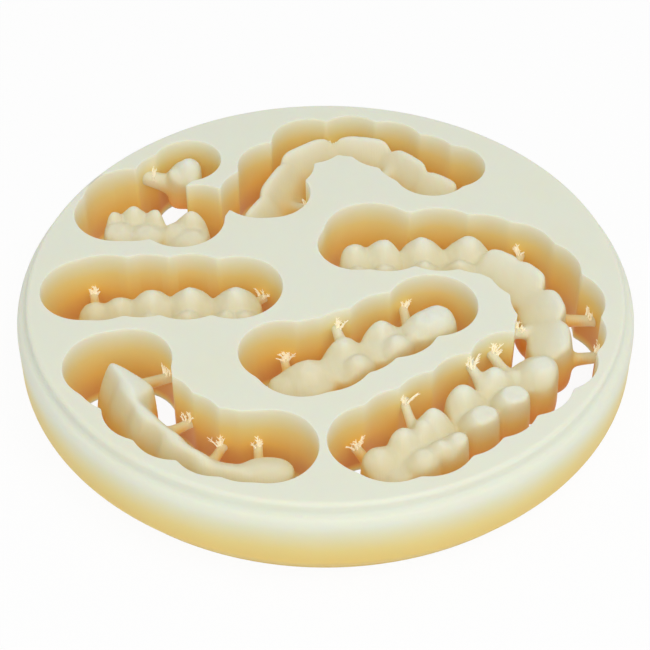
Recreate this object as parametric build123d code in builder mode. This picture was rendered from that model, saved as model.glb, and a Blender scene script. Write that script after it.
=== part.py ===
from build123d import *
import os
from math import cos, hypot, radians, sin

# A milled blank: a stepped round disc of one material with six pockets cut right through it.
# In each pocket a set of crowns stands free of the walls on a few thin struts.
# Millimetres, +Z up, origin in the middle of the underside.

# Blank
flange_diameter = 98.5
flange_height = 10.0
flange_ledge = 1.75
boss_height = 2.0
flange_crown_depth = 2.4
flange_crown_inset = 1.2
flange_foot_depth = 1.9
flange_foot_inset = 1.4
boss_edge_chamfer = 0.5

# The rounded flange edge as two flats: where they meet, as shares of its inset and its depth.
bend_inset_share = 0.3
bend_depth_share = 0.35

# Crowns and struts
crown_base_height = 2.6
crown_sides = 8
strut_sides = 8
strut_embed = 1.5
hollow_sides = 8
hollow_depth = 5.0
hollow_taper = 5.0

total_height = flange_height + 2 * boss_height
middle_height = total_height / 2
flange_top = boss_height + flange_height
flange_radius = flange_diameter / 2
boss_radius = flange_radius - flange_ledge

# The places below, seen from above, are laid out on a boss of this radius and keep their share of it.
layout_radius = 47.5
spread = boss_radius / layout_radius

# Pocket outlines: overlapping rounds of the mill around each crown, as x, y and radius.
molar_pocket = [
    (-34.3, 16.8, 7.7), (-31.8, 17.0, 7.9), (-33.6, 21.2, 7.2), (-23.8, 14.6, 7.0),
    (-21.5, 18.5, 5.5), (-24.0, 30.8, 5.8), (-27.5, 27.5, 5.2),
]
front_pocket = [
    (-9.2, 21.8, 6.6), (-11.0, 22.0, 6.9), (-8.6, 29.5, 6.6), (-3.0, 36.5, 6.5),
    (4.5, 38.0, 6.0), (10.5, 35.5, 6.8), (16.0, 31.3, 7.2), (18.2, 27.4, 6.4), (21.7, 29.3, 5.9),
]
straight_pocket = [
    (-14.2, -2.2, 7.4), (-21.8, -2.0, 7.8), (-28.8, -1.8, 7.5), (-35.5, -2.2, 7.8), (-38.0, -2.7, 7.2),
]
arch_pocket = [
    (5.2, 8.4, 6.5), (7.5, 11.2, 7.8), (10.0, 9.5, 7.9), (18.7, 9.7, 8.0), (25.5, 8.5, 7.5),
    (30.0, 6.5, 7.5), (33.6, 2.0, 7.4), (36.5, -5.2, 7.4), (36.2, -12.0, 7.0), (34.2, -18.3, 7.0),
    (29.8, -23.2, 7.1), (24.5, -28.0, 6.7), (19.5, -31.5, 6.8), (14.5, -34.9, 7.2), (9.4, -36.0, 7.2),
    (7.0, -35.0, 6.8), (11.8, -31.6, 6.8), (17.0, -28.0, 6.8), (22.3, -24.0, 6.7), (28.0, -18.6, 6.0),
]
slanted_pocket = [
    (-6.6, -16.8, 6.7), (-3.5, -19.0, 7.5), (-0.5, -17.5, 8.0), (4.5, -14.5, 7.2),
    (10.3, -10.9, 7.3), (16.8, -6.4, 7.1),
]
canine_pocket = [
    (-32.3, -19.8, 7.3), (-30.0, -18.8, 6.8), (-30.0, -22.5, 7.0), (-26.0, -28.5, 6.8),
    (-21.5, -32.3, 6.7), (-15.5, -35.5, 6.6), (-11.0, -36.3, 6.9), (-8.0, -36.3, 7.1),
]
pockets = [molar_pocket, front_pocket, straight_pocket, arch_pocket, slanted_pocket, canine_pocket]

# Cusps: x, y, half length along the arch, half width across it, heading in degrees, and
# the depth of the tip below the top face. Neighbouring cusps overlap and fuse into one bridge.
molar_cusps = [
    (-34.5, 14.2, 2.9, 3.4, 0, 1.9), (-29.6, 13.6, 2.9, 3.4, 0, 2.2), (-34.4, 18.0, 2.7, 3.0, 0, 1.8),
    (-29.9, 18.6, 3.2, 3.0, 0, 1.4), (-23.6, 13.2, 3.6, 3.4, 0, 1.7), (-23.2, 17.4, 3.0, 3.0, 0, 1.6),
]
single_cusps = [(-24.7, 30.9, 3.3, 3.4, 90, 0.9)]
straight_cusps = [
    (-14.4, -2.0, 4.3, 4.0, 0, 1.6), (-21.7, -2.1, 4.0, 4.1, 0, 1.6), (-27.9, -2.3, 3.6, 3.9, 0, 2.1),
    (-33.1, -2.8, 3.1, 3.9, 0, 3.2), (-37.1, -3.0, 2.6, 3.6, 0, 4.1),
]
arch_cusps = [
    (4.9, 9.2, 2.6, 3.8, 5, 2.2), (9.4, 9.8, 3.3, 4.0, 0, 1.6), (15.8, 10.2, 3.9, 4.0, 0, 1.5),
    (22.9, 10.4, 4.0, 3.9, -10, 1.6), (28.7, 8.3, 3.5, 3.7, -35, 1.6), (33.0, 4.6, 3.4, 3.6, -50, 1.6),
    (34.6, -1.0, 3.6, 3.7, -75, 1.6), (34.4, -7.2, 3.8, 3.7, -90, 1.6), (33.4, -12.7, 3.6, 3.7, -105, 1.6),
    (31.3, -17.3, 3.4, 3.6, -120, 1.5),
    (28.3, -24.8, 3.1, 3.0, 30, 1.4), (25.4, -20.2, 3.0, 2.9, 30, 1.4), (23.3, -28.7, 3.1, 3.0, 30, 1.5),
    (20.4, -23.8, 3.1, 3.0, 30, 1.5), (18.9, -33.6, 3.1, 3.0, 33, 1.7), (15.4, -28.5, 3.1, 3.0, 33, 1.5),
    (14.9, -36.2, 3.0, 2.9, 38, 2.5), (11.2, -31.6, 3.0, 3.0, 38, 1.8), (11.0, -38.2, 2.8, 2.7, 40, 4.0),
    (7.8, -35.0, 2.8, 2.8, 40, 2.8),
]
slanted_cusps = [
    (-6.0, -18.8, 2.9, 2.9, 30, 4.0), (-3.9, -21.6, 2.9, 2.7, 30, 4.0), (-2.0, -16.8, 3.0, 2.9, 30, 3.0),
    (0.6, -21.0, 3.2, 2.9, 30, 3.0), (3.6, -12.8, 3.0, 2.9, 30, 2.2), (5.2, -16.6, 3.1, 3.0, 30, 2.2),
    (8.6, -9.4, 3.0, 2.9, 30, 1.7), (10.9, -12.8, 3.2, 3.0, 30, 1.8), (16.2, -7.4, 4.1, 3.4, 28, 1.6),
]
low_fills = [
    (26.8, -22.4, 3.6, 2.7, 38, 3.0), (21.8, -26.2, 4.2, 2.7, 42, 3.0), (17.1, -31.0, 4.0, 2.7, 42, 3.0),
    (13.0, -34.0, 2.8, 2.6, 38, 3.6), (9.4, -36.6, 2.6, 2.4, 38, 4.6), (29.6, -20.6, 2.8, 2.6, 40, 2.6),
    (-32.0, 16.2, 3.6, 2.8, 0, 3.2), (-26.8, 15.0, 2.2, 3.0, 0, 5.0),
    (-0.8, -18.9, 2.6, 2.4, 30, 4.4), (4.4, -14.7, 2.6, 2.4, 30, 3.8), (9.8, -11.1, 2.6, 2.4, 30, 3.6),
    (13.2, -9.6, 2.4, 2.8, 30, 4.0),
]

# Front teeth, narrowed to a thin edge, in the same columns as the cusps.
front_teeth = [
    (-11.0, 21.8, 3.6, 3.2, 75, 2.0), (-8.5, 28.2, 4.2, 3.1, 68, 1.7), (-3.2, 36.6, 4.7, 3.0, 40, 1.5),
    (6.6, 38.6, 5.0, 2.8, -8, 1.1), (14.2, 33.6, 4.6, 2.9, -48, 1.4), (19.0, 27.9, 3.6, 3.2, -55, 1.8),
]
canine_teeth = [
    (-31.2, -19.4, 4.0, 3.0, -60, 0.8), (-27.7, -25.8, 4.1, 2.9, -58, 1.0), (-22.9, -31.2, 4.0, 2.8, -42, 1.2),
    (-17.0, -35.2, 4.3, 2.8, -28, 2.4), (-9.6, -37.0, 4.6, 2.9, -8, 3.4),
]

# Struts, each from a crown to a wall: start, end, radius. Heights are from the middle of the disc.
struts = [
    ((-26.0, 30.6, 2.0), (-31.0, 31.4, 3.4), 1.3), ((-24.0, 29.6, 2.0), (-22.0, 24.4, 2.0), 1.2),
    ((-32.5, 14.0, 0.0), (-33.0, 8.6, 0.0), 1.1), ((-23.6, 12.5, 0.0), (-23.6, 7.0, 0.0), 1.1),
    ((11.5, 34.0, 2.0), (8.4, 29.0, 2.0), 1.1), ((-8.4, 26.0, 0.0), (-3.0, 26.2, 0.0), 1.1),
    ((19.0, 26.0, 0.0), (19.0, 20.6, 0.0), 1.1), ((0.0, 38.0, 0.0), (0.8, 42.0, 0.0), 1.0),
    ((-37.0, -1.2, 0.0), (-38.3, 5.1, -1.2), 0.9), ((-12.4, 0.6, 0.0), (-10.1, 4.0, -1.0), 0.9),
    ((31.2, 7.6, 0.4), (32.9, 13.5, 0.1), 0.9), ((36.0, -2.6, 0.0), (43.2, -2.0, -0.6), 1.2),
    ((35.0, -12.2, 0.0), (43.4, -11.0, 0.0), 1.2), ((32.0, -7.5, 2.0), (28.0, -9.6, 3.4), 1.0),
    ((27.8, -17.6, 2.4), (25.7, -13.0, 2.6), 1.0), ((24.2, -21.4, 3.0), (22.2, -17.0, 3.8), 1.0),
    ((13.2, -29.2, 2.0), (11.8, -23.6, 2.7), 0.9), ((6.8, -33.6, -0.8), (4.6, -28.6, -2.0), 1.0),
    ((5.0, 9.0, -0.5), (4.6, 1.6, -0.5), 1.0), ((18.0, 9.6, 0.0), (18.4, 1.4, 0.0), 1.0),
    ((-5.6, -16.2, -0.8), (-6.5, -10.1, -1.6), 0.9), ((2.8, -12.2, 3.0), (1.6, -7.9, 3.3), 1.0),
    ((13.2, -8.0, 2.0), (12.5, -0.7, 1.0), 1.0), ((-29.0, -18.6, 1.0), (-24.2, -15.2, -0.3), 1.1),
    ((-24.4, -29.4, 1.4), (-20.4, -24.6, -0.7), 1.0), ((-16.8, -34.6, 1.0), (-15.4, -28.9, -1.4), 0.9),
    ((-9.6, -36.0, 0.6), (-10.1, -29.4, -0.8), 0.9),
]

# Hollow undersides of the crowns that sit on prepared teeth: x, y and radius.
hollows = [
    (-31.9, 15.8, 2.2), (-23.4, 15.2, 2.2), (-24.7, 30.9, 2.2), (-14.4, -2.0, 2.4), (-27.9, -2.3, 2.2),
    (9.4, 9.8, 2.3), (22.9, 10.4, 2.4), (34.5, -7.0, 2.1), (16.2, -7.4, 1.9), (-8.5, 28.2, 1.7),
    (6.6, 38.6, 1.6), (-31.2, -19.4, 1.7), (-22.9, -31.2, 1.6),
]

# Side profile of a cusp: share of its height above the base, share of its half width
cusp_profile = [(0.0, 0.78), (0.42, 1.0), (0.76, 0.84), (1.0, 0.34)]

# Front tooth: a belly and a shoulder height, a neck, a wide edge and a thin side profile, as shares
belly_height_share = 0.42
shoulder_height_share = 0.8
neck_length_share = 0.76
neck_width_share = 0.8
edge_length_share = 0.86
edge_width_share = 0.2


def cusp_crown(x, y, half_length, half_width, heading, depth):
    height = total_height - depth - crown_base_height
    base = (x * spread, y * spread, crown_base_height)
    with BuildPart() as body:
        for side in range(crown_sides // 2):
            turn = 360 * side / crown_sides
            reach = spread * hypot(half_length * cos(radians(turn)), half_width * sin(radians(turn)))
            outward = Vector(1, 0, 0).rotate(Axis.Z, heading + turn)
            sideways = Vector(0, -1, 0).rotate(Axis.Z, heading + turn)
            with BuildSketch(Plane(base, x_dir=outward, z_dir=sideways)):
                with BuildLine():
                    Polyline(*[(reach * share, height * rise) for rise, share in cusp_profile])
                    Polyline(*[(-reach * share, height * rise) for rise, share in cusp_profile])
                    Line((-reach * cusp_profile[0][1], 0), (reach * cusp_profile[0][1], 0))
                    Line((-reach * cusp_profile[-1][1], height), (reach * cusp_profile[-1][1], height))
                make_face()
            mode = Mode.INTERSECT if side else Mode.ADD
            extrude(amount=2 * max(half_length, half_width), both=True, mode=mode)
    return body.part


def front_tooth(x, y, half_length, half_width, heading, depth):
    height = total_height - depth - crown_base_height
    belly = height * belly_height_share
    shoulder = height * shoulder_height_share
    along = Vector(1, 0, 0).rotate(Axis.Z, heading)
    across = Vector(0, 1, 0).rotate(Axis.Z, heading)
    base = (x * spread, y * spread, crown_base_height)
    half_length *= spread
    half_width *= spread
    neck_length = half_length * neck_length_share
    edge_length = half_length * edge_length_share
    neck_width = half_width * neck_width_share
    edge_width = half_width * edge_width_share
    with BuildPart() as body:
        with BuildSketch(Plane(base, x_dir=along, z_dir=across * -1)):
            Polygon(
                (-neck_length, 0), (neck_length, 0), (half_length, belly), (half_length, shoulder),
                (edge_length, height), (-edge_length, height), (-half_length, shoulder), (-half_length, belly),
                align=None,
            )
        extrude(amount=half_width, both=True)
        with BuildSketch(Plane(base, x_dir=across, z_dir=along)):
            Polygon(
                (-neck_width, 0), (neck_width, 0), (half_width, belly), (edge_width, height),
                (-edge_width, height), (-half_width, belly),
                align=None,
            )
        extrude(amount=half_length, both=True, mode=Mode.INTERSECT)
    return body.part


def strut(start, end, radius):
    foot = Vector(start[0] * spread, start[1] * spread, start[2] + middle_height)
    head = Vector(end[0] * spread, end[1] * spread, end[2] + middle_height)
    run = head - foot
    with BuildPart() as bar:
        with BuildSketch(Plane(foot, z_dir=run)):
            RegularPolygon(radius, strut_sides)
        extrude(amount=run.length + strut_embed)
    return bar.part


cusps = molar_cusps + single_cusps + straight_cusps + arch_cusps + slanted_cusps + low_fills
crowns = [cusp_crown(*cusp) for cusp in cusps]
crowns += [front_tooth(*tooth) for tooth in front_teeth + canine_teeth]
bars = [strut(*ends) for ends in struts]

with BuildPart() as milled_disc:
    with BuildSketch(Plane.XZ):
        with BuildLine():
            Polyline(
                (0, 0), (boss_radius - boss_edge_chamfer, 0), (boss_radius, boss_edge_chamfer),
                (boss_radius, boss_height), (flange_radius - flange_foot_inset, boss_height),
                (flange_radius - flange_foot_inset * bend_inset_share,
                 boss_height + flange_foot_depth * bend_depth_share),
                (flange_radius, boss_height + flange_foot_depth),
                (flange_radius, flange_top - flange_crown_depth),
                (flange_radius - flange_crown_inset * bend_inset_share,
                 flange_top - flange_crown_depth * bend_depth_share),
                (flange_radius - flange_crown_inset, flange_top), (boss_radius, flange_top),
                (boss_radius, total_height - boss_edge_chamfer),
                (boss_radius - boss_edge_chamfer, total_height), (0, total_height),
                close=True,
            )
        make_face()
    revolve(axis=Axis.Z)
    for outline in pockets:
        with BuildSketch(Plane.XY):
            for x, y, radius in outline:
                with Locations((x * spread, y * spread)):
                    Circle(radius * spread)
        extrude(amount=total_height, mode=Mode.SUBTRACT)
    add(crowns)
    add(bars)
    with BuildSketch(Plane.XY.offset(crown_base_height)):
        for x, y, radius in hollows:
            with Locations((x * spread, y * spread)):
                RegularPolygon(radius, hollow_sides)
    extrude(amount=hollow_depth, taper=hollow_taper, mode=Mode.SUBTRACT)

milled_disc.part.label = "milled_disc"

os.makedirs("parts", exist_ok=True)
export_step(milled_disc.part, "parts/milled_disc.step")
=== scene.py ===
import math

import bmesh
import bpy
import numpy as np
from mathutils import Euler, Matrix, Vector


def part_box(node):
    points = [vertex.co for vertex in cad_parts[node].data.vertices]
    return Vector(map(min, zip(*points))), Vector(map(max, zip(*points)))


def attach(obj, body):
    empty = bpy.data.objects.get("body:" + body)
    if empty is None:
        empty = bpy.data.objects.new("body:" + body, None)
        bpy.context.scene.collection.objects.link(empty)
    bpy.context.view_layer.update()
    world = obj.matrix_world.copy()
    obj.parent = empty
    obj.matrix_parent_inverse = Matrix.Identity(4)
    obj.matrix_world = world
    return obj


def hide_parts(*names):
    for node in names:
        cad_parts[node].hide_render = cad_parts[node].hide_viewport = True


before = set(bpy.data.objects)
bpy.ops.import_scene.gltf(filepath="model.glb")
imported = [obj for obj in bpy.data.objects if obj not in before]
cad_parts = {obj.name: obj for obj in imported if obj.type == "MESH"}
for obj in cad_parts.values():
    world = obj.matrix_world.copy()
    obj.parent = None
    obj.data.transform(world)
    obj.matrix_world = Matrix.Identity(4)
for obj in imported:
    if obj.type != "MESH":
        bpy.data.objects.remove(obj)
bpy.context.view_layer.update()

# All shapes are worked out in millimetres and turned to metres when their mesh is made.
MILLIMETRE = 0.001
NODE = "milled_disc"

low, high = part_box(NODE)
TOP = (high.z - low.z) / MILLIMETRE
FLANGE_RADIUS = (high.x - low.x) / MILLIMETRE / 2

# Blank: a clamping flange between two slightly smaller bosses
LEDGE = 1.75
BOSS_RADIUS = FLANGE_RADIUS - LEDGE
BOSS_HEIGHT = 2.0
FLANGE_TOP = TOP - BOSS_HEIGHT
BOSS_EDGE = 0.7
STEP_FILLET = 0.7
SEGMENTS = 288

# The flange's rounded edges: how far they reach inwards and in height, and the angle they end at
UPPER_EDGE, UPPER_TURN = (1.2, 2.4), 80
LOWER_EDGE, LOWER_TURN = (1.4, 1.9), -76
EDGE_POINTS = 10

# Pocket walls: the small round at both faces, and the straight height between the two rounds
LIP = 0.14
LIP_RINGS = 5
WALL_MARGIN = 0.8
WALL_RINGS = 14

# Pocket plans: easing of the ridges between rounds, spacing of points, and the narrowest loop kept
RIDGE_BLEND = 0.16
OUTLINE_STEP = 0.4
SMALLEST_ISLAND = 4.0

# Painted shade of a wall, a warmer and darker colour: it grows with depth, fades fast at the underside, and
# is more near a crown
TINT_START = 0.4
TINT_SPAN = 11.5
FADE_BELOW = 9
OPEN_WALL = 0.8
NEAR_CROWN = 0.3
NEAR_CROWN_REACH = 3.5

# Painted shade on the flange's outside, a warmer and darker colour, which grows from a little below its top
OUTSIDE_SHADE = 0.42
OUTSIDE_START = 1
OUTSIDE_RATE = 1.8

# Painted glow for light that seeps into a wall: the same everywhere, more near the top face and more deep
# down
EVEN_GLOW = 0.06
TOP_GLOW, TOP_GLOW_REACH = 0.08, 1.5
DEEP_GLOW, DEEP_GLOW_DEPTH = 0.045, 10

# Pocket outlines: overlapping rounds of the mill, as x, y and radius
POCKETS = {
    "molar": [
        (-34.3, 16.8, 7.7), (-31.8, 17.0, 7.9), (-33.6, 21.2, 7.2), (-23.8, 14.6, 7.0),
        (-21.5, 18.5, 5.5), (-24.0, 30.8, 5.8), (-27.5, 27.5, 5.2),
    ],
    "front": [
        (-9.2, 21.8, 6.6), (-11.0, 22.0, 6.9), (-8.6, 29.5, 6.6), (-3.0, 36.5, 6.5), (4.5, 38.0, 6.0),
        (10.5, 35.5, 6.8), (16.0, 31.3, 7.2), (18.2, 27.4, 6.4), (21.7, 29.3, 5.9),
    ],
    "straight": [
        (-14.2, -2.2, 7.4), (-21.8, -2.0, 7.8), (-28.8, -1.8, 7.5), (-35.5, -2.2, 7.8), (-38.0, -2.7, 7.2),
    ],
    "arch": [
        (5.2, 8.4, 6.5), (7.5, 11.2, 7.8), (10.0, 9.5, 7.9), (18.7, 9.7, 8.0), (25.5, 8.5, 7.5),
        (30.0, 6.5, 7.5), (33.6, 2.0, 7.4), (36.5, -5.2, 7.4), (36.2, -12.0, 7.0), (34.2, -18.3, 7.0),
        (29.8, -23.2, 7.1), (24.5, -28.0, 6.7), (19.5, -31.5, 6.8), (14.5, -34.9, 7.2), (9.4, -36.0, 7.2),
        (7.0, -35.0, 6.8), (11.8, -31.6, 6.8), (17.0, -28.0, 6.8), (22.3, -24.0, 6.7), (28.0, -18.6, 6.0),
    ],
    "slanted": [
        (-6.6, -16.8, 6.7), (-3.5, -19.0, 7.5), (-0.5, -17.5, 8.0), (4.5, -14.5, 7.2),
        (10.3, -10.9, 7.3), (16.8, -6.4, 7.1),
    ],
    "canine": [
        (-32.3, -19.8, 7.3), (-30.0, -18.8, 6.8), (-30.0, -22.5, 7.0), (-26.0, -28.5, 6.8),
        (-21.5, -32.3, 6.7), (-15.5, -35.5, 6.6), (-11.0, -36.3, 6.9), (-8.0, -36.3, 7.1),
    ],
}
ROUNDS = sum(POCKETS.values(), [])

# Back teeth: x, y, heading in degrees, half length along the arch, half width across it, and their
# cusps. A cusp is its place along and across the tooth, tip height, radius of its flat and slope.
# The neck of the single crown ends higher than the others, at the height given after its cusps.
BACK_TEETH = {
    "molar": [
        (-32.2, 16.3, 0, 5.4, 5.1, [
            (-3.9, 2.8, 11.7, 0.2, 1.3), (-0.4, 3.8, 12.1, 0.2, 1.3), (3.5, 3.2, 12.0, 0.2, 1.3),
            (-2.8, -0.9, 11.3, 0.9, 0.7), (2.2, -1.3, 11.2, 0.9, 0.7),
        ]),
        (-23.3, 15.2, 0, 3.9, 5.0, [
            (0.6, 3.8, 12.0, 0.2, 1.2), (-2.2, 1.4, 10.7, 0.5, 0.8), (0.8, -1.2, 10.9, 1.0, 0.7),
        ]),
        (-24.7, 31.2, 90, 3.2, 3.1, [(0.6, -0.7, 13.2, 0.2, 1.0), (-0.9, 1.6, 12.0, 0.3, 0.9)], 5.0),
    ],
    "straight": [
        (-14.4, -2.6, 0, 4.4, 4.3, [
            (0, 1.3, 12.5, 0.2, 1.05), (-1.4, -2.5, 10.9, 0.2, 1.1), (1.6, -2.5, 10.9, 0.2, 1.1),
        ]),
        (-21.7, -2.7, 0, 4.1, 4.3, [(0, 1.4, 12.5, 0.2, 1.1), (-0.2, -2.6, 11.1, 0.2, 1.1)]),
        (-27.9, -2.8, 0, 3.5, 4.1, [(0, 1.4, 12.0, 0.2, 1.0), (0, -2.4, 10.5, 0.2, 1.0)]),
        (-33.0, -3.2, 0, 3.1, 3.9, [(0, 1.3, 10.8, 0.2, 1.0), (0, -2.3, 9.4, 0.2, 0.9)]),
        (-37.1, -3.3, 0, 2.7, 3.6, [(0, 1.2, 9.9, 0.2, 1.0), (0, -2.1, 8.8, 0.2, 0.9)]),
    ],
    "arch": [
        (7.5, 8.1, 3, 5.4, 4.5, [
            (-2.7, 1.8, 12.2, 0.2, 1.0), (2.3, 2.4, 12.5, 0.2, 1.0), (2.0, -2.8, 11.5, 0.2, 1.2),
            (-2.4, -2.6, 11.1, 0.2, 1.2),
        ]),
        (16.0, 8.8, 0, 4.4, 4.5, [(0.0, 2.4, 12.5, 0.2, 1.0), (0.2, -2.6, 11.5, 0.2, 1.2)]),
        (23.2, 8.9, -8, 4.4, 4.4, [(0.2, 2.6, 12.6, 0.2, 1.0), (-0.8, -2.5, 11.5, 0.2, 1.2)]),
        (31.7, -18.2, -108, 3.7, 4.0, [(-0.4, 1.2, 12.7, 1.0, 1.1), (1.2, -2.4, 11.0, 0.2, 1.1)]),
        (26.9, -22.3, 27, 3.3, 4.9, [
            (0.1, -2.8, 12.7, 1.5, 1.8), (0.1, 2.9, 12.7, 0.3, 1.25), (0, 0.3, 10.4, 0.6, 0.5),
        ]),
        (21.9, -26.1, 28, 3.4, 5.0, [
            (0.1, -3.0, 12.5, 1.5, 1.8), (0.1, 3.0, 12.7, 0.3, 1.25), (0, 0.3, 10.3, 0.6, 0.5),
        ]),
        (17.0, -31.0, 31, 3.4, 4.8, [
            (1.2, -2.9, 12.1, 0.6, 1.5), (-1.4, -2.4, 11.7, 0.3, 1.4), (0.6, 3.1, 12.6, 0.2, 1.25),
            (-1.6, 2.4, 11.9, 0.2, 1.2),
        ]),
        (12.9, -33.9, 36, 2.9, 4.5, [(0.3, -2.1, 11.2, 0.5, 1.0), (0, 2.7, 12.1, 0.2, 1.1)]),
        (9.0, -36.3, 40, 3.1, 4.2, [(0.3, -1.9, 9.4, 0.6, 0.6), (0, 1.9, 11.0, 0.2, 0.8)]),
    ],
    "slanted": [
        (-3.6, -18.9, 24, 5.4, 3.9, [
            (-3.0, 1.0, 9.6, 0.6, 0.6), (1.6, 1.3, 10.9, 0.6, 0.6), (1.4, -2.1, 9.6, 0.4, 0.6),
        ]),
        (3.5, -14.9, 30, 4.1, 4.1, [
            (0.5, 2.3, 12.1, 0.3, 1.1), (0.6, -1.9, 11.7, 0.4, 1.1), (0, 0.3, 10.3, 1.0, 0.3),
        ]),
        (9.6, -11.2, 28, 4.0, 3.9, [
            (0.1, 2.3, 12.5, 0.3, 1.1), (0.8, -1.8, 12.3, 0.4, 1.1), (0, 0.3, 10.9, 1.0, 0.3),
        ]),
        (16.4, -8.0, 22, 4.5, 3.3, [
            (-0.6, 0.3, 12.7, 0.8, 0.9), (1.4, 0.5, 13.0, 1.0, 0.9), (-2.6, -0.6, 11.6, 0.6, 0.6),
        ]),
    ],
}

# Front teeth: x, y, heading in degrees, half length, half width, place of the edge across the
# tooth, height and width of the edge, slope of the tongue side and slope of the lip side.
# The canine has a flat flank too: the direction it faces in degrees, and its distance.
FRONT_TEETH = {
    "front": [
        (-10.3, 20.0, 62, 4.0, 3.7, 2.3, 12.0, 1.0, 1.2, 4.0),
        (-7.0, 27.6, 66, 5.7, 4.2, 2.7, 12.4, 1.1, 1.3, 4.0),
        (-2.5, 35.2, 36, 6.1, 4.2, 2.6, 12.7, 1.2, 1.3, 4.0),
        (6.4, 36.8, -9, 5.6, 4.0, 2.6, 12.9, 1.2, 1.3, 4.0),
        (13.3, 32.3, -44, 4.7, 4.0, 2.7, 12.6, 1.2, 1.15, 4.0),
        (19.1, 27.0, -36, 3.8, 3.7, 2.4, 12.1, 1.2, 1.0, 4.0),
    ],
    "arch": [
        (27.9, 5.8, -33, 3.4, 4.0, 2.6, 12.7, 1.0, 0.6, 3.0),
        (31.8, 2.2, -50, 3.6, 4.1, 2.8, 12.8, 1.0, 0.65, 3.0),
        (34.5, -4.0, -76, 3.9, 3.9, 2.7, 12.7, 1.2, 0.65, 3.0),
        (35.1, -11.2, -94, 4.2, 3.7, 2.2, 12.5, 1.4, 0.55, 3.0),
    ],
    "canine": [
        (-30.2, -21.0, 122, 4.7, 4.6, 0.6, 13.4, 0.2, 0.42, 2.0, (57, 1.6)),
        (-29.0, -26.5, 122, 4.3, 3.4, -0.9, 12.8, 0.7, 1.8, 2.0),
        (-24.9, -31.2, 136, 4.5, 3.3, -0.9, 12.6, 0.7, 1.8, 2.0),
        (-20.4, -35.5, 145, 4.3, 3.0, -0.8, 12.2, 0.8, 1.6, 1.8),
        (-14.2, -38.0, 168, 4.2, 2.8, -0.2, 11.1, 0.8, 0.9, 1.2),
        (-8.2, -37.2, 178, 3.9, 3.0, 0.2, 10.6, 1.2, 0.4, 0.6),
    ],
}

# Struts: start in a crown, a point on the way to the wall, and radius, with heights from mid-disc
STRUTS = {
    "molar": [
        ((-26.0, 30.6, 1.2), (-31.0, 31.4, 2.6), 1.8), ((-23.6, 29.8, 3.0), (-22.0, 26.0, 3.0), 1.1),
        ((-32.5, 14.0, 0.0), (-33.0, 8.6, 0.0), 1.1), ((-23.6, 12.5, 0.0), (-23.6, 7.0, 0.0), 1.1),
    ],
    "front": [
        ((11.5, 34.0, 2.0), (8.4, 29.0, 2.0), 1.1), ((-8.4, 26.0, 0.0), (-3.0, 26.2, 0.0), 1.1),
        ((19.0, 26.0, 0.0), (19.0, 20.6, 0.0), 1.1), ((0.0, 38.0, 0.0), (0.8, 42.0, 0.0), 1.0),
    ],
    "straight": [
        ((-37.0, -1.2, 0.0), (-38.3, 5.1, -1.2), 0.9), ((-12.4, 0.6, 0.0), (-10.1, 4.0, -1.0), 0.9),
    ],
    "arch": [
        ((31.2, 7.6, 0.4), (32.9, 13.5, 0.1), 0.9), ((36.0, -2.6, 0.0), (43.2, -2.0, -0.6), 1.2),
        ((35.0, -12.2, 0.0), (43.4, -11.0, 0.0), 1.2), ((32.0, -7.5, 2.0), (28.0, -9.6, 3.4), 1.0),
        ((27.8, -17.6, 2.4), (25.7, -13.0, 2.6), 1.0), ((24.2, -21.4, 3.0), (22.2, -17.0, 3.8), 1.0),
        ((13.2, -29.2, 2.0), (11.8, -23.6, 2.7), 0.9), ((6.8, -33.6, -0.8), (4.6, -28.6, -2.0), 1.0),
        ((5.0, 9.0, -0.5), (4.6, 1.6, -0.5), 1.0), ((18.0, 9.6, 0.0), (18.4, 1.4, 0.0), 1.0),
    ],
    "slanted": [
        ((-5.6, -16.2, -0.8), (-6.5, -10.1, -1.6), 0.9), ((2.8, -12.2, 3.0), (1.6, -7.9, 3.3), 1.0),
        ((13.2, -8.0, 2.0), (12.5, -0.7, 1.0), 1.0),
    ],
    "canine": [
        ((-29.0, -18.6, 1.0), (-24.2, -15.2, -0.3), 1.1), ((-24.4, -29.4, 1.4), (-20.4, -24.6, -0.7), 1.0),
        ((-16.8, -34.6, 1.0), (-15.4, -28.9, -1.4), 0.9), ((-9.6, -36.0, 0.6), (-10.1, -29.4, -0.8), 0.9),
    ],
}

# Hollow undersides of the crowns that sit on prepared teeth: x, y and radius
HOLLOWS = [
    (-31.9, 15.8, 2.2), (-23.4, 15.2, 2.2), (-24.7, 31.0, 1.7), (-14.4, -2.0, 2.4), (-27.9, -2.3, 2.2),
    (9.4, 9.8, 2.3), (22.9, 10.4, 2.4), (34.5, -7.0, 2.1), (16.2, -7.4, 1.9), (-8.5, 28.2, 1.7),
    (6.6, 38.6, 1.6), (-31.2, -19.4, 1.7), (-22.9, -31.2, 1.6),
]

# Crown forms: heights of the neck's end and the widest part, tapers, and squareness in plan
CROWN_BASE = 2.6
BELLY = 4.4
NECK_SHARE = 0.9
TOP_TAPER = 0.15
BACK_SQUARE = 2.7
FRONT_SQUARE = 2.3

# Chewing faces: rounding and joining of cusps, rounding and fall of a front tooth's edge, relief
CUSP_ROUND = 0.8
CUSP_UNION = 0.2
EDGE_ROUND = 0.4
EDGE_FALL = 0.9
BROAD_WRINKLE, FINE_WRINKLE = 0.07, 0.03
FRONT_WRINKLE = 0.5

# Hollows: height of their top, narrowing with height, and the height of grid they can take up
HOLLOW_TOP = 7.6
HOLLOW_TAPER = 0.09
HOLLOW_REACH = 7

# Strut forms, in shares of the radius but for the length of the thickening at the wall
STRUT_START = 0.95
STRUT_THINNING = 0.25
STRUT_FLARE = 0.45
FLARE_LENGTH = 0.5
STRUT_SINK = 0.9

# How softly forms flow together: an edge of a form, and forms joined or taken away
EDGE = 0.24
BACK_UNION = 0.42
FRONT_UNION = 0.7
STRUT_UNION = 0.45
HOLLOW_UNION = 0.1

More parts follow.
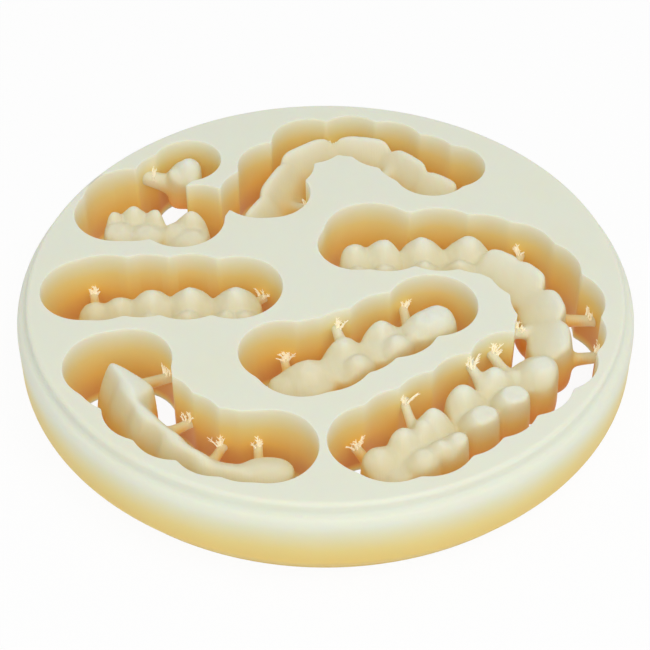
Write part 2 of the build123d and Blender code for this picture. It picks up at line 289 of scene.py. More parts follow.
# Grid of a restoration's field: pitch, margins, and values where there is no form and no grid
PITCH = 0.25
GRID_MARGIN = 2
GRID_BELOW, GRID_ABOVE = 1.5, 0.5
TOOTH_MARGIN = 3
STRUT_MARGIN = 4
HOLLOW_MARGIN = 2
EMPTY, BEYOND = 6.0, 9.0

# Painted shade of a crown, a warmer and darker colour: it grows with depth, near a wall and on flanks, and
# fades at a strut's end
CROWN_TINT_START, CROWN_TINT_SPAN = 1.0, 8
OPEN_CROWN, NEAR_WALL, NEAR_WALL_REACH = 0.7, 0.3, 2.5
FLANK_SHADE, FLANK_RATE = 0.22, 4
HEAD_PALING, HEAD_REACH = 0.75, 2.4

# Painted glow for light that seeps into a crown, below the depth where it starts, and most into its flanks
CROWN_GLOW, FLANK_GLOW = 0.05, 0.16
CROWN_GLOW_START, CROWN_GLOW_SPAN = 2, 6

# Burrs: fibres in a brush and how they spread, their form, and twigs as shares of their fibre
BURR_SEED = 5
FIBRES = 8
ROOT_SPREAD, ROOT_HEIGHT, ROOT_FALL = 0.6, 0.55, 0.8
FAN = 0.7
FIBRE_SIDES = 5
FIBRE_RINGS = 6
FIBRE_LENGTH = (0.9, 2.2)
FIBRE_RADIUS = (0.13, 0.24)
FIBRE_TAPER = 0.7
TWIG_PLACES = (0.45, 0.7)
TWIG_LENGTH, TWIG_RADIUS, TWIG_BEND = 0.4, 0.6, 0.3
TWIG_ASIDE = 0.9

# Colours from the material's own pale colour to the warm, darker painted shade: place on the ramp, and red,
# green and blue on a screen
WALL_COLOURS = [
    (0.0, (228, 231, 214)), (0.1, (229, 226, 190)), (0.3, (232, 212, 136)), (0.6, (232, 190, 92)),
    (1.0, (214, 138, 54)),
]
CROWN_COLOURS = [
    (0.0, (228, 231, 216)), (0.15, (227, 223, 196)), (0.4, (219, 208, 168)), (0.65, (220, 184, 110)),
    (1.0, (216, 144, 60)),
]
WALL_LINES, CROWN_LINES = 0.02, 0.22
PATCH_TINT = 0.08
WHITE = (1, 1, 1, 1)


def pocket_field(x, y, rounds=ROUNDS):
    """Distance to the wall of some pockets in plan, below zero inside them, its ridges slightly eased."""
    smallest = 1e-300
    total = sum(np.exp((r - np.hypot(x - cx, y - cy)) / RIDGE_BLEND) for cx, cy, r in rounds)
    return -RIDGE_BLEND * np.log(np.maximum(total, smallest))


def to_level(points, level):
    """Moves plan points along the pocket field's slope until they lie at one level of it."""
    probe, moves, least_slope = 1e-3, 6, 0.2
    for _ in range(moves):
        x, y = points[:, 0], points[:, 1]
        slope = np.stack([
            pocket_field(x + probe, y) - pocket_field(x - probe, y),
            pocket_field(x, y + probe) - pocket_field(x, y - probe),
        ], axis=1) / (2 * probe)
        miss = pocket_field(x, y) - level
        points = points - slope * (miss / np.maximum((slope ** 2).sum(1), least_slope))[:, None]
    return points


def edge_links(inside):
    """For each side of a grid square that a wall crosses, the sides where it goes on."""
    across = inside[:-1] != inside[1:]
    along = inside[:, :-1] != inside[:, 1:]
    count = inside[:-1, :-1].astype(int) + inside[1:, :-1] + inside[:-1, 1:] + inside[1:, 1:]
    links = {}
    for i, j in np.argwhere((count > 0) & (count < 4)):
        ends = [(0, i, j)] * across[i, j] + [(0, i, j + 1)] * across[i, j + 1]
        ends += [(1, i, j)] * along[i, j] + [(1, i + 1, j)] * along[i + 1, j]
        for one, two in zip(ends[::2], ends[1::2]):
            links.setdefault(one, []).append(two)
            links.setdefault(two, []).append(one)
    return links


def closed_loops(links):
    """The walls as loops of linked sides, each followed once around."""
    loops, used = [], set()
    for start in links:
        if start in used:
            continue
        loop = [start]
        used.add(start)
        while True:
            ahead = [end for end in links[loop[-1]] if end not in used]
            if not ahead:
                break
            loop.append(ahead[0])
            used.add(ahead[0])
        loops.append(loop)
    return loops


def even_outline(points):
    """A loop with evenly spaced points that has the pocket on its left."""
    closed = np.vstack([points, points[:1]])
    run = np.concatenate([[0], np.cumsum(np.linalg.norm(np.diff(closed, axis=0), axis=1))])
    stations = np.linspace(0, run[-1], int(run[-1] / OUTLINE_STEP), endpoint=False)
    even = np.stack([np.interp(stations, run, closed[:, axis]) for axis in (0, 1)], axis=1)
    even = to_level(even, 0.0)
    probe = 0.2
    ahead = np.roll(even, -1, axis=0) - even
    left = even + probe * np.stack([-ahead[:, 1], ahead[:, 0]], axis=1)
    left_is_free = pocket_field(left[:, 0], left[:, 1]).mean() < 0
    return even if left_is_free else even[::-1]


def pocket_outlines():
    """Evenly spaced points around every wall in plan, without the loops around small islands."""
    step = OUTLINE_STEP / 2
    side = np.arange(-BOSS_RADIUS, BOSS_RADIUS, step)
    inside = pocket_field(side[:, None], side[None, :]) < 0
    outlines = []
    for loop in closed_loops(edge_links(inside)):
        points = np.array([
            (side[i] + step / 2 * (kind == 0), side[j] + step / 2 * (kind == 1)) for kind, i, j in loop
        ])
        if np.ptp(points, axis=0).min() > SMALLEST_ISLAND:
            outlines.append(even_outline(to_level(points, 0.0)))
    return outlines


def quarter(centre, radii, start, stop, steps=6):
    """Points of a quarter ellipse in the profile plane."""
    angles = np.radians(np.linspace(start, stop, steps))
    return [(centre[0] + radii[0] * math.cos(a), centre[1] + radii[1] * math.sin(a)) for a in angles]


def blank_profile():
    """Radius and height up the outside of the blank, from its underside to its top face."""
    boss, rim = BOSS_RADIUS, FLANGE_RADIUS
    lower = (rim - LOWER_EDGE[0], BOSS_HEIGHT + LOWER_EDGE[1])
    upper = (rim - UPPER_EDGE[0], FLANGE_TOP - UPPER_EDGE[1])
    points = quarter((boss - BOSS_EDGE, BOSS_EDGE), (BOSS_EDGE, BOSS_EDGE), -90, 0)
    points += quarter(lower, LOWER_EDGE, LOWER_TURN, 0, EDGE_POINTS)
    points += [(rim, TOP / 2)]
    points += quarter(upper, UPPER_EDGE, 0, UPPER_TURN, EDGE_POINTS)
    points += quarter((boss + STEP_FILLET, FLANGE_TOP + STEP_FILLET), (STEP_FILLET, STEP_FILLET), -90, -180)
    points += quarter((boss - BOSS_EDGE, TOP - BOSS_EDGE), (BOSS_EDGE, BOSS_EDGE), 0, 90)
    return points


def wall_levels():
    """Level of the pocket field and height for each ring of a pocket's wall, from below upwards."""
    turns = np.radians(np.linspace(0, 90, LIP_RINGS))
    foot = [(LIP * (1 - math.sin(a)), LIP * (1 - math.cos(a))) for a in turns]
    rise = [(0.0, z) for z in np.linspace(WALL_MARGIN, TOP - WALL_MARGIN, WALL_RINGS)]
    head = [(LIP * (1 - math.cos(a)), TOP - LIP * (1 - math.sin(a))) for a in turns]
    return foot + rise + head


def wall_painted_shade(z):
    """Painted shade of a wall at a height, as warmth of its colour: nothing at both faces, most of it deep
    in the pocket.
    """
    depth = np.minimum(TOP - z, np.maximum(z, 0) * FADE_BELOW)
    return np.clip((depth - TINT_START) / TINT_SPAN, 0, 1)


def wall_glow(z):
    """Painted glow for light that seeps through to a wall at a height."""
    depth = max(TOP - z, 0)
    near_top = TOP_GLOW * math.exp(-depth / TOP_GLOW_REACH)
    return EVEN_GLOW + near_top + DEEP_GLOW * min(depth / DEEP_GLOW_DEPTH, 1)


def outside_painted_shade(z):
    """Painted shade on the blank's outside at a height, as warmth of its colour: most of it at the flange's
    foot.
    """
    return OUTSIDE_SHADE * np.clip((FLANGE_TOP - OUTSIDE_START - z) / FLANGE_TOP * OUTSIDE_RATE, 0, 1)


def new_mesh(name, points, faces, painted_shade, glow):
    """A smooth mesh with a painted shade and a painted glow at each point, which the milled materials read.
    """
    mesh = bpy.data.meshes.new(name)
    mesh.from_pydata((points * MILLIMETRE).tolist(), [], faces)
    for attribute, values in (("painted_shade", painted_shade), ("glow", glow)):
        layer = mesh.attributes.new(attribute, "FLOAT", "POINT")
        layer.data.foreach_set("value", values.astype(np.float32))
    mesh.shade_smooth()
    return mesh


def put_in_scene(mesh, material):
    """Shows a mesh as a piece of the disc."""
    piece = bpy.data.objects.new(mesh.name, mesh)
    bpy.context.scene.collection.objects.link(piece)
    mesh.materials.append(material)
    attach(piece, "root")
    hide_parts(NODE)


def ring_faces(first, size, rings):
    """Four-sided faces between rings of points, counted from the first point's number."""
    here = np.arange(size)
    ahead = np.roll(here, -1)
    faces = []
    for row in range(rings - 1):
        below, above = first + row * size, first + (row + 1) * size
        faces.append(np.stack([below + here, below + ahead, above + ahead, above + here], axis=1))
    return np.vstack(faces)


def close_faces(mesh):
    """Fills the flat underside and top face between the outer edge and the pockets' edges."""
    flat = bmesh.new()
    flat.from_mesh(mesh)
    for z, up in ((0.0, -1), (TOP, 1)):
        rim = [
            edge for edge in flat.edges
            if edge.is_boundary and all(abs(end.co.z - z * MILLIMETRE) < 1e-6 for end in edge.verts)
        ]
        made = bmesh.ops.triangle_fill(flat, use_beauty=True, edges=rim, normal=(0, 0, up))
        for face in made["geom"]:
            if isinstance(face, bmesh.types.BMFace):
                face.smooth = False
                if face.normal.z * up < 0:
                    face.normal_flip()
    flat.to_mesh(mesh)
    flat.free()


def blank_mesh(crown_fields):
    """The disc with its pockets: rings up the outside and up each pocket wall, then the two faces."""
    points, painted_shades, glows, faces = [], [], [], []

    def skin(rings, ring_painted_shades, ring_glows, outward):
        """Adds the faces between rings of points that go from below upwards."""
        quads = ring_faces(sum(len(ring) for ring in points), len(rings[0]), len(rings))
        faces.extend((quads if outward else quads[:, ::-1]).tolist())
        points.extend(rings)
        painted_shades.extend(ring_painted_shades)
        glows.extend(ring_glows)

    angles = np.linspace(0, 2 * math.pi, SEGMENTS, endpoint=False)
    rings, ring_painted_shades = [], []
    for radius, z in blank_profile():
        x, y = radius * np.cos(angles), radius * np.sin(angles)
        rings.append(np.stack([x, y, np.full(SEGMENTS, z)], axis=1))
        # Painted shade: the outside gets warmer and darker towards the flange's foot
        ring_painted_shades.append(np.full(SEGMENTS, outside_painted_shade(z)))
    skin(rings, ring_painted_shades, [np.zeros(SEGMENTS)] * len(rings), True)

    for outline in pocket_outlines():
        rings, ring_painted_shades, ring_glows = [], [], []
        for level, z in wall_levels():
            plan = to_level(outline, level) if level else outline
            ring = np.column_stack([plan, np.full(len(plan), z)])
            # Painted shade: deeper in a pocket and nearer a crown, the wall's colour gets warmer and
            # darker; painted glow on the straight rings
            gap = np.min([sample_field(field, ring) for field in crown_fields.values()], axis=0)
            near = np.exp(-np.maximum(gap, 0) / NEAR_CROWN_REACH)
            rings.append(ring)
            ring_painted_shades.append(wall_painted_shade(z) * (OPEN_WALL + NEAR_CROWN * near))
            ring_glows.append(np.full(len(plan), wall_glow(z) if level == 0 else 0.0))
        skin(rings, ring_painted_shades, ring_glows, False)

    painted_shade, glow = np.concatenate(painted_shades), np.concatenate(glows)
    mesh = new_mesh("blank_with_pockets", np.vstack(points), faces, painted_shade, glow)
    close_faces(mesh)
    return mesh


class Field:
    """Samples of a distance-like field on a grid of cubes; below zero is inside the material."""

    def __init__(self, lowest, highest):
        self.origin = np.array(lowest, float)
        size = np.ceil((np.array(highest) - self.origin) / PITCH).astype(int) + 1
        self.axes = [self.origin[d] + PITCH * np.arange(size[d]) for d in range(3)]
        self.values = np.full(size, EMPTY, np.float32)

    def near(self, centre, reach):
        """The slices and coordinates of the grid within a reach of a point."""
        parts = []
        for d in range(3):
            first = max(int((centre[d] - reach[d] - self.origin[d]) / PITCH), 0)
            last = min(int((centre[d] + reach[d] - self.origin[d]) / PITCH) + 2, len(self.axes[d]))
            parts.append(slice(first, max(last, first + 1)))
        x, y, z = (self.axes[d][parts[d]] for d in range(3))
        return tuple(parts), x[:, None, None], y[None, :, None], z[None, None, :]

    def join(self, parts, distance, blend):
        """Adds a form, which flows into what is there already."""
        self.values[parts] = -soft_max(-self.values[parts], -distance, blend)

    def carve(self, parts, distance, blend):
        """Takes a form away."""
        self.values[parts] = soft_max(self.values[parts], -distance, blend)


def soft_max(one, two, blend):
    """The larger of two values, eased where they are about equal."""
    return np.maximum(one, two) + blend * np.log1p(np.exp(-np.abs(one - two) / blend))


def soft_positive(value):
    """The value where it is above zero and nothing below, with an eased bend between."""
    return (value + np.sqrt(value ** 2 + EDGE_ROUND ** 2)) / 2


def steep_distance(value):
    """A form's shape value, turned to millimetres by its own slope on the grid."""
    least_slope = 0.05
    slope = np.gradient(value, PITCH)
    return value / np.maximum(np.sqrt(sum(s ** 2 for s in slope)), least_slope)


def local(x, y, place, heading):
    """Plan coordinates along and across a tooth."""
    c, s = math.cos(math.radians(heading)), math.sin(math.radians(heading))
    return (x - place[0]) * c + (y - place[1]) * s, (y - place[1]) * c - (x - place[0]) * s


def wrinkle(x, y):
    """Crossed waves of two sizes, in millimetres, that keep the chewing faces from looking turned."""
    broad = np.sin(1.9 * x + 0.8 * y + 0.5) * np.sin(1.6 * y - 0.7 * x)
    fine = np.sin(3.7 * x - 1.3 * y) * np.sin(3.1 * y + 1.9 * x + 1.0)
    return BROAD_WRINKLE * broad + FINE_WRINKLE * fine


def tooth_side(x, y, z, place, heading, half_length, half_width, square):
    """Places along and across a tooth, and how far out a point lies from its upright sides."""
    along, across = local(x, y, place, heading)
    below = np.clip((BELLY - z) / (BELLY - CROWN_BASE), 0, 1)
    above = np.maximum((z - BELLY) / (TOP - BELLY), 0)
    flare = 1 - (1 - NECK_SHARE) * below ** 2 - TOP_TAPER * above ** 2
    plan = (np.abs(along / half_length) ** square + np.abs(across / half_width) ** square) ** (1 / square)
    return along, across, steep_distance(plan / flare - 1)


def tooth_grid(field, x0, y0, half_length, half_width):
    """The part of a field's grid that a tooth can take up."""
    reach = max(half_length, half_width) + TOOTH_MARGIN
    middle = (CROWN_BASE + TOP) / 2
    return field.near((x0, y0, middle), (reach, reach, middle + TOOTH_MARGIN))


def join_tooth(field, parts, z, side, chewing_face, union, base=CROWN_BASE):
    """A tooth between its sides, its chewing face and the end of its neck, with eased edges."""
    top = steep_distance(z - chewing_face)
    distance = soft_max(soft_max(side, top, EDGE), base - z, EDGE)
    field.join(parts, distance, union)


def add_back_tooth(field, x0, y0, heading, half_length, half_width, cusps, base=CROWN_BASE):
    """A back tooth, whose chewing face is the highest of the slopes that fall away from its cusps."""
    parts, x, y, z = tooth_grid(field, x0, y0, half_length, half_width)
    along, across, side = tooth_side(x, y, z, (x0, y0), heading, half_length, half_width, BACK_SQUARE)
    face = np.full_like(along, CROWN_BASE)
    for u, v, tip, flat, slope in cusps:
        away = np.hypot(np.maximum(np.hypot(along - u, across - v) - flat, 0), CUSP_ROUND) - CUSP_ROUND
        face = soft_max(face, tip - slope * away, CUSP_UNION)
    join_tooth(field, parts, z, side, face + wrinkle(x, y), BACK_UNION, base)


def add_front_tooth(
    field, x0, y0, heading, half_length, half_width, edge, tip, flat, tongue_slope, lip_slope, trim=None,
):
    """A front tooth, whose edge runs along it and slopes away to the tongue and to the lips."""
    parts, x, y, z = tooth_grid(field, x0, y0, half_length, half_width)
    along, across, side = tooth_side(x, y, z, (x0, y0), heading, half_length, half_width, FRONT_SQUARE)
    if trim:
        turn, distance = math.radians(trim[0]), trim[1]
        side = soft_max(side, (x - x0) * math.cos(turn) + (y - y0) * math.sin(turn) - distance, EDGE)
    away = across - edge
    face = tip - tongue_slope * soft_positive(-away - flat / 2) - lip_slope * soft_positive(away - flat / 2)
    face = face - EDGE_FALL * np.abs(along / half_length) ** 3
    join_tooth(field, parts, z, side, face + FRONT_WRINKLE * wrinkle(x, y), FRONT_UNION)


def wall_crossing(start, end):
    """Where a strut's middle line, going from a crown towards a wall, meets that wall."""
    furthest, samples = 1.3, 261
    start, end = np.array(start), np.array(end)
    shares = np.linspace(0, furthest, samples)
    points = start + shares[:, None] * (end - start)
    inside = pocket_field(points[:, 0], points[:, 1]) < 0
    return points[np.flatnonzero(~inside)[0]]


def strut_ends(strut):
    """A strut's foot on its crown and head at the wall, its direction and its radius."""
    start, end, radius = strut
    foot = np.array([start[0], start[1], start[2] + TOP / 2])
    head = wall_crossing(foot, (end[0], end[1], end[2] + TOP / 2))
    run = (head - foot) / np.linalg.norm(head - foot)
    return foot, head, run, radius


def add_strut(field, strut):
    """A round strut that thickens towards the wall it grows out of."""
    foot, head, run, radius = strut_ends(strut)
    tip = head + run * STRUT_SINK * radius
    length = np.linalg.norm(tip - foot)
    parts, x, y, z = field.near((foot + tip) / 2, np.abs(tip - foot) / 2 + STRUT_MARGIN)
    away = [x - foot[0], y - foot[1], z - foot[2]]
    share = (away[0] * run[0] + away[1] * run[1] + away[2] * run[2]) / length
    held = np.clip(share, 0, 1)
    gap = np.sqrt(sum((away[d] - held * length * run[d]) ** 2 for d in range(3)))
    to_wall = (1 - held) * length
    flare = STRUT_FLARE * np.exp(-to_wall / FLARE_LENGTH)
    wide = radius * (STRUT_START - STRUT_THINNING * held + flare)
    field.join(parts, np.maximum(gap - wide, (share - 1) * length), STRUT_UNION)


def add_hollow(field, x0, y0, radius):
    """The round recess, narrower towards its top, in which a prepared tooth would sit."""
    if not all(field.axes[d][0] < (x0, y0)[d] < field.axes[d][-1] for d in (0, 1)):
        return
    reach = (radius + HOLLOW_MARGIN, radius + HOLLOW_MARGIN, HOLLOW_REACH)
    parts, x, y, z = field.near((x0, y0, CROWN_BASE), reach)
    narrowing = HOLLOW_TAPER * np.clip(z - CROWN_BASE, 0, None)
    form = soft_max(np.hypot(x - x0, y - y0) - radius + narrowing, z - HOLLOW_TOP, EDGE)
    field.carve(parts, form, HOLLOW_UNION)


def crown_field(name):
    """The field of the crowns and struts that stand in one pocket."""
    rounds = POCKETS[name]
    lowest = [min(c[d] - c[2] for c in rounds) - GRID_MARGIN for d in (0, 1)] + [CROWN_BASE - GRID_BELOW]
    highest = [max(c[d] + c[2] for c in rounds) + GRID_MARGIN for d in (0, 1)] + [TOP + GRID_ABOVE]
    field = Field(lowest, highest)
    for tooth in BACK_TEETH.get(name, []):
        add_back_tooth(field, *tooth)
    for tooth in FRONT_TEETH.get(name, []):
        add_front_tooth(field, *tooth)
    for strut in STRUTS[name]:
        add_strut(field, strut)
    for hollow in HOLLOWS:
        add_hollow(field, *hollow)
    return field


def sample_field(field, points):
    """The field's nearest value at each point, and a far value outside its grid."""
    index = np.rint((points - field.origin) / PITCH).astype(int)
    shape = np.array(field.values.shape)
    out = ((index < 0) | (index >= shape)).any(axis=1)
    index = np.clip(index, 0, shape - 1)
    return np.where(out, BEYOND, field.values[tuple(index.T)])


def crossing_means(values, cells):
    """The mean of the places where the field passes zero on each cube's edges, from its corner."""
    total, crossings = np.zeros((len(cells), 3)), np.zeros(len(cells))
    for axis in range(3):
        others = [d for d in range(3) if d != axis]
        for shift in ((0, 0), (0, 1), (1, 0), (1, 1)):
            one = np.zeros(3, int)
            one[others] = shift
            two = one.copy()
            two[axis] = 1
            first = values[tuple((cells + one).T)]
            second = values[tuple((cells + two).T)]
            crossed = (first < 0) != (second < 0)
            share = np.where(crossed, first / np.where(crossed, first - second, 1), 0)
            total += crossed[:, None] * (one + share[:, None] * (two - one))
            crossings += crossed
    return total / crossings[:, None]


def net_faces(inside, number):
    """A four-sided face for each grid edge that goes in or out, between the four cubes around it."""
    faces = []
    for axis in range(3):
        u, v = (axis + 1) % 3, (axis + 2) % 3
        near_side, far_side = [slice(1, -1)] * 3, [slice(1, -1)] * 3
        near_side[axis], far_side[axis] = slice(0, -1), slice(1, None)
        crossed = inside[tuple(near_side)] != inside[tuple(far_side)]
        outward = inside[tuple(near_side)][crossed]
        spots = np.argwhere(crossed)
        spots[:, [u, v]] += 1
        quad = []
        for du, dv in ((0, 0), (1, 0), (1, 1), (0, 1)):
            cell = spots.copy()
            cell[:, u] -= du
            cell[:, v] -= dv
            quad.append(number[tuple(cell.T)])
        quad = np.stack(quad, axis=1)
        quad[~outward] = quad[~outward][:, ::-1]
        faces.append(quad)
    return np.vstack(faces)


def surface_net(values, origin):
    """A closed mesh where the field passes zero, with one point in each cube that it goes through."""
    inside = values < 0
    size = np.array(inside.shape) - 1
    count = sum(
        inside[i:i + size[0], j:j + size[1], k:k + size[2]].astype(np.int8)
        for i in (0, 1) for j in (0, 1) for k in (0, 1)
    )
    mixed = (count > 0) & (count < 8)
    cells = np.argwhere(mixed)
    number = np.full(mixed.shape, -1)
    number[mixed] = np.arange(len(cells))
    points = origin + PITCH * (cells + crossing_means(values, cells))
    return points, net_faces(inside, number)


def crown_painted_shade(name, points, flank):
    """Painted shade of each point of a restoration, as warmth of its colour."""
    to_wall = np.minimum(pocket_field(points[:, 0], points[:, 1], POCKETS[name]), 0)
    near_wall = np.exp(to_wall / NEAR_WALL_REACH)
    depth = np.clip((TOP - points[:, 2] - CROWN_TINT_START) / CROWN_TINT_SPAN, 0, 1)
    painted_shade = depth * (OPEN_CROWN + NEAR_WALL * near_wall)
    # Flanks, the sides that don't face up, get more painted shade
    painted_shade = painted_shade + FLANK_SHADE * flank * np.minimum(depth * FLANK_RATE, 1)
    for strut in STRUTS[name]:
        head = strut_ends(strut)[1]
        painted_shade *= 1 - HEAD_PALING * np.exp(-(np.linalg.norm(points - head, axis=1) / HEAD_REACH) ** 2)
    return np.clip(painted_shade, 0, 1)


def crown_glow(points, flank):
    """The painted glow for light that seeps into each point of a restoration."""
    depth = np.clip((TOP - points[:, 2] - CROWN_GLOW_START) / CROWN_GLOW_SPAN, 0, 1)
    return (CROWN_GLOW + FLANK_GLOW * flank) * depth


def crown_mesh(name, field):
    """One pocket's crowns and struts; a flank is any face that doesn't look up."""
    points, faces = surface_net(field.values, field.origin)
    lift = np.array([0, 0, PITCH])
    rise = sample_field(field, points + lift) - sample_field(field, points - lift)
    flank = 1 - np.clip(rise / (2 * PITCH), 0, 1)
    painted_shade, glow = crown_painted_shade(name, points, flank), crown_glow(points, flank)
    return new_mesh(name + "_restoration", points, faces.tolist(), painted_shade, glow)


def fibre(root, lean, length, radius, bend):
    """Rings of one thin, curved and tapering fibre."""
    slanted = (0.3, 0.5, 0.8)
    axis = lean / np.linalg.norm(lean)
    side = np.cross(axis, slanted)
    side /= np.linalg.norm(side)
    other = np.cross(axis, side)
    turns = 2 * math.pi * np.arange(FIBRE_SIDES) / FIBRE_SIDES
    rings = []
    for share in np.linspace(0, 1, FIBRE_RINGS):
        centre = root + axis * length * share + bend * share ** 2
        wide = radius * (1 - FIBRE_TAPER * share)
        rings.append(centre + wide * (np.cos(turns)[:, None] * side + np.sin(turns)[:, None] * other))
    return rings


def burr_fibres(rng, strut):
    """One brush: fibres that rise from the strut's end along the wall, each with two twigs."""
    _, head, run, radius = strut_ends(strut)
    sideways = np.cross(run, (0, 0, 1))
    sideways /= np.linalg.norm(sideways)
    for _ in range(FIBRES):
        turn = rng.uniform(-1.0, 1.0)
        behind = rng.uniform(0.0, 1.1)
        forward = rng.uniform(0.0, 0.3)
        spread = turn * FAN + rng.uniform(-0.3, 0.3)
        upward = rng.uniform(0.8, 1.3)
        length = rng.uniform(*FIBRE_LENGTH)
        thick = rng.uniform(*FIBRE_RADIUS)
        sweep = rng.uniform(-0.6, 0.6)
        hang = rng.uniform(0.0, 0.5)
        root = head - run * behind + sideways * turn * radius * ROOT_SPREAD
        root[2] += radius * ROOT_HEIGHT * math.sqrt(1 - ROOT_FALL * turn ** 2)
        lean = run * forward + sideways * spread + np.array([0, 0, upward])
        bend = sideways * sweep - run * hang
        yield fibre(root, lean, length, thick, bend)
        axis = lean / np.linalg.norm(lean)
        for share in TWIG_PLACES:
            start = root + axis * length * share + bend * share ** 2
            aside = axis + sideways * rng.choice([-TWIG_ASIDE, TWIG_ASIDE]) - run * rng.uniform(0, 0.5)
            yield fibre(start, aside, length * TWIG_LENGTH, thick * TWIG_RADIUS, bend * TWIG_BEND)


def burr_mesh(rng):
    """Brushes of fibres that the mill left where each strut meets its wall."""
    points, faces = [], []
    loop = np.arange(FIBRE_SIDES)
    for strut in sum(STRUTS.values(), []):
        for rings in burr_fibres(rng, strut):
            first = len(points) * FIBRE_SIDES
            faces += ring_faces(first, FIBRE_SIDES, len(rings)).tolist()
            faces.append((first + loop[::-1]).tolist())
            faces.append((first + (len(rings) - 1) * FIBRE_SIDES + loop).tolist())
            points += rings
    points = np.vstack(points)
    return new_mesh("mill_burrs", points, faces, np.zeros(len(points)), np.zeros(len(points)))


def from_screen(red, green, blue):
    """A linear colour from the 0 to 255 values of a screen colour."""
    return tuple(((c / 255 + 0.055) / 1.055) ** 2.4 for c in (red, green, blue))


def ramp_colours(ramp, stops):
    """Gives a colour ramp its places and screen colours."""
    while len(ramp.elements) < len(stops):
        ramp.elements.new(0.5)
    for element, (place, colour) in zip(ramp.elements, stops):
        element.position = place
        element.color = (*from_screen(*colour), 1)


def set_inputs(node, values):
    """Sets inputs of a node, which are given by name or by number."""
    for name, value in values.items():
        node.inputs[name].default_value = value


def add_node(tree, kind, values=None, **settings):
    """A new shader node with its settings and the inputs that differ from the usual ones."""
    node = tree.nodes.new("ShaderNode" + kind)
    for name, value in settings.items():
        setattr(node, name, value)
    set_inputs(node, values or {})
    return node


def painted_shade_colour(tree, place, stops):
    """The colour that its painted shade gives each point, with slightly warmer and paler patches."""
    painted_shade = add_node(tree, "Attribute", attribute_name="painted_shade")
    patches = add_node(tree, "TexNoise", {"Scale": 90, "Detail": 3})
    shift = add_node(tree, "Math", {1: PATCH_TINT, 2: -PATCH_TINT / 2}, operation="MULTIPLY_ADD")
    total = add_node(tree, "Math", operation="ADD", use_clamp=True)
    shade_ramp = add_node(tree, "ValToRGB")
    ramp_colours(shade_ramp.color_ramp, stops)
    tree.links.new(place.outputs["Object"], patches.inputs["Vector"])
    tree.links.new(patches.outputs["Fac"], shift.inputs[0])
    tree.links.new(painted_shade.outputs["Fac"], total.inputs[0])
    tree.links.new(shift.outputs[0], total.inputs[1])
    tree.links.new(total.outputs[0], shade_ramp.inputs["Fac"])
    return shade_ramp.outputs["Color"]


def mill_relief(tree, place, line_strength):
    """A fine grain, and over it the faint lines that a mill leaves."""
    grain = add_node(tree, "TexNoise", {"Scale": 2600, "Detail": 2})
    grain_bump = add_node(tree, "Bump", {"Strength": 0.12, "Distance": 0.00005})
    lines = add_node(tree, "TexWave", {"Scale": 700, "Distortion": 3, "Detail": 1})
    line_bump = add_node(tree, "Bump", {"Strength": line_strength, "Distance": 0.00004})
    tree.links.new(place.outputs["Object"], grain.inputs["Vector"])
    tree.links.new(grain.outputs["Fac"], grain_bump.inputs["Height"])
    tree.links.new(place.outputs["Object"], lines.inputs["Vector"])
    tree.links.new(lines.outputs["Fac"], line_bump.inputs["Height"])
    tree.links.new(grain_bump.outputs["Normal"], line_bump.inputs["Normal"])
    return line_bump.outputs["Normal"]


def milled_material(name, stops, line_strength):
    """The blank's translucent material, which takes its painted shade and painted glow from each point."""
    material = bpy.data.materials.new(name)
    material.use_nodes = True
    tree = material.node_tree
    shader = tree.nodes["Principled BSDF"]
    set_inputs(shader, {
        "Roughness": 0.52,
        "IOR": 1.49,
        "Subsurface Weight": 0.5,
        "Subsurface Radius": (0.9, 0.56, 0.26),
        "Subsurface Scale": 0.0018,
    })
    place = add_node(tree, "TexCoord")
    glow = add_node(tree, "Attribute", attribute_name="glow")
    colour = painted_shade_colour(tree, place, stops)
    tree.links.new(colour, shader.inputs["Base Color"])
    # Painted glow: each point gives off its own colour as light, as strong as its glow
    tree.links.new(colour, shader.inputs["Emission Color"])
    tree.links.new(glow.outputs["Fac"], shader.inputs["Emission Strength"])
    tree.links.new(mill_relief(tree, place, line_strength), shader.inputs["Normal"])
    return material


def burr_material():
    """The pale look of the thin fibres, which light goes through, with a painted glow that whitens them."""
    material = bpy.data.materials.new("pale_fibres")
    material.use_nodes = True
    set_inputs(material.node_tree.nodes["Principled BSDF"], {
        "Base Color": (*from_screen(246, 238, 214), 1),
        "Emission Color": (*from_screen(248, 238, 210), 1),
        # Painted glow that whitens the fibres
        "Emission Strength": 0.22,
        "Roughness": 0.4,
        "Subsurface Weight": 0.3,
        "Subsurface Radius": (1.0, 0.7, 0.4),
        "Subsurface Scale": 0.0005,
    })
    return material


def floor_material():
    """White to the camera and in reflections, but for a share that still takes shadows."""
    material = bpy.data.materials.new("floor_white")
    material.use_nodes = True
    tree = material.node_tree
    tree.nodes.clear()
    matt = add_node(tree, "BsdfDiffuse", {"Color": (0.85, 0.85, 0.84, 1)})
    white = add_node(tree, "Emission")
    seen = add_node(tree, "LightPath")
    either = add_node(tree, "Math", operation="MAXIMUM")
    share = add_node(tree, "Math", {1: 0.93}, operation="MULTIPLY")
    mix = add_node(tree, "MixShader")
    out = add_node(tree, "OutputMaterial")
    tree.links.new(seen.outputs["Is Camera Ray"], either.inputs[0])
    tree.links.new(seen.outputs["Is Glossy Ray"], either.inputs[1])
    tree.links.new(either.outputs[0], share.inputs[0])
    tree.links.new(share.outputs[0], mix.inputs["Fac"])
    tree.links.new(matt.outputs[0], mix.inputs[1])
    tree.links.new(white.outputs[0], mix.inputs[2])
    tree.links.new(mix.outputs[0], out.inputs["Surface"])
    return material


def white_floor():
    """A wide floor, in metres, under the disc."""
    half = 2.0
    mesh = bpy.data.meshes.new("floor")
    corners = [(-half, -half, 0), (half, -half, 0), (half, half, 0), (-half, half, 0)]
    mesh.from_pydata(corners, [], [(0, 1, 2, 3)])
    mesh.materials.append(floor_material())
    floor = bpy.data.objects.new("floor", mesh)
    bpy.context.scene.collection.objects.link(floor)


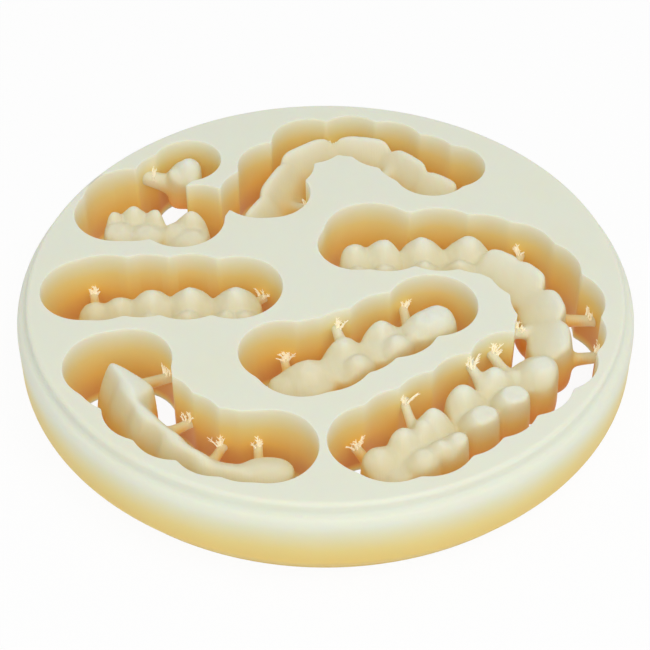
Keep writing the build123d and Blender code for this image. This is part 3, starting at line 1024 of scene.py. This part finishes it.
def white_sky():
    """An even sky that lights the disc, and plain white where the camera looks past the floor."""
    world = bpy.data.worlds.new("studio")
    bpy.context.scene.world = world
    world.use_nodes = True
    tree = world.node_tree
    sky = tree.nodes["Background"]
    set_inputs(sky, {"Color": WHITE, "Strength": 0.64})
    plain = add_node(tree, "Background", {"Color": WHITE})
    seen = add_node(tree, "LightPath")
    mix = add_node(tree, "MixShader")
    tree.links.new(seen.outputs["Is Camera Ray"], mix.inputs["Fac"])
    tree.links.new(sky.outputs[0], mix.inputs[1])
    tree.links.new(plain.outputs[0], mix.inputs[2])
    tree.links.new(mix.outputs[0], tree.nodes["World Output"].inputs["Surface"])


def soft_light(name, place, size, power):
    """A round lamp that looks at the middle of the disc."""
    light = bpy.data.lights.new(name, "AREA")
    light.shape = "DISK"
    light.size = size
    light.energy = power
    lamp = bpy.data.objects.new(name, light)
    bpy.context.scene.collection.objects.link(lamp)
    lamp.location = place
    lamp.rotation_euler = (-lamp.location).to_track_quat("-Z", "Y").to_euler()


def camera():
    """The photograph's view, as it was fitted to the disc's outline."""
    data = bpy.data.cameras.new("camera")
    data.sensor_width = 36
    data.lens = 90.24
    data.shift_x = -0.0009
    data.shift_y = -0.0734
    data.clip_start = 0.01
    view = bpy.data.objects.new("camera", data)
    bpy.context.scene.collection.objects.link(view)
    view.location = (0, -0.1951, 0.1859)
    view.rotation_euler = Euler((math.radians(48.62), 0, 0))
    bpy.context.scene.camera = view


wall_ivory = milled_material("milled_wall", WALL_COLOURS, WALL_LINES)
crown_ivory = milled_material("milled_crown", CROWN_COLOURS, CROWN_LINES)
fields = {name: crown_field(name) for name in POCKETS}
put_in_scene(blank_mesh(fields), wall_ivory)
put_in_scene(burr_mesh(np.random.default_rng(BURR_SEED)), burr_material())
for name, field in fields.items():
    put_in_scene(crown_mesh(name, field), crown_ivory)

white_floor()
white_sky()
soft_light("key", place=(0.2, -0.1, 0.5), size=0.3, power=0.5)
soft_light("front", place=(0.0, -0.42, 0.4), size=0.35, power=0.85)
camera()
bpy.context.scene.view_settings.view_transform = "Standard"
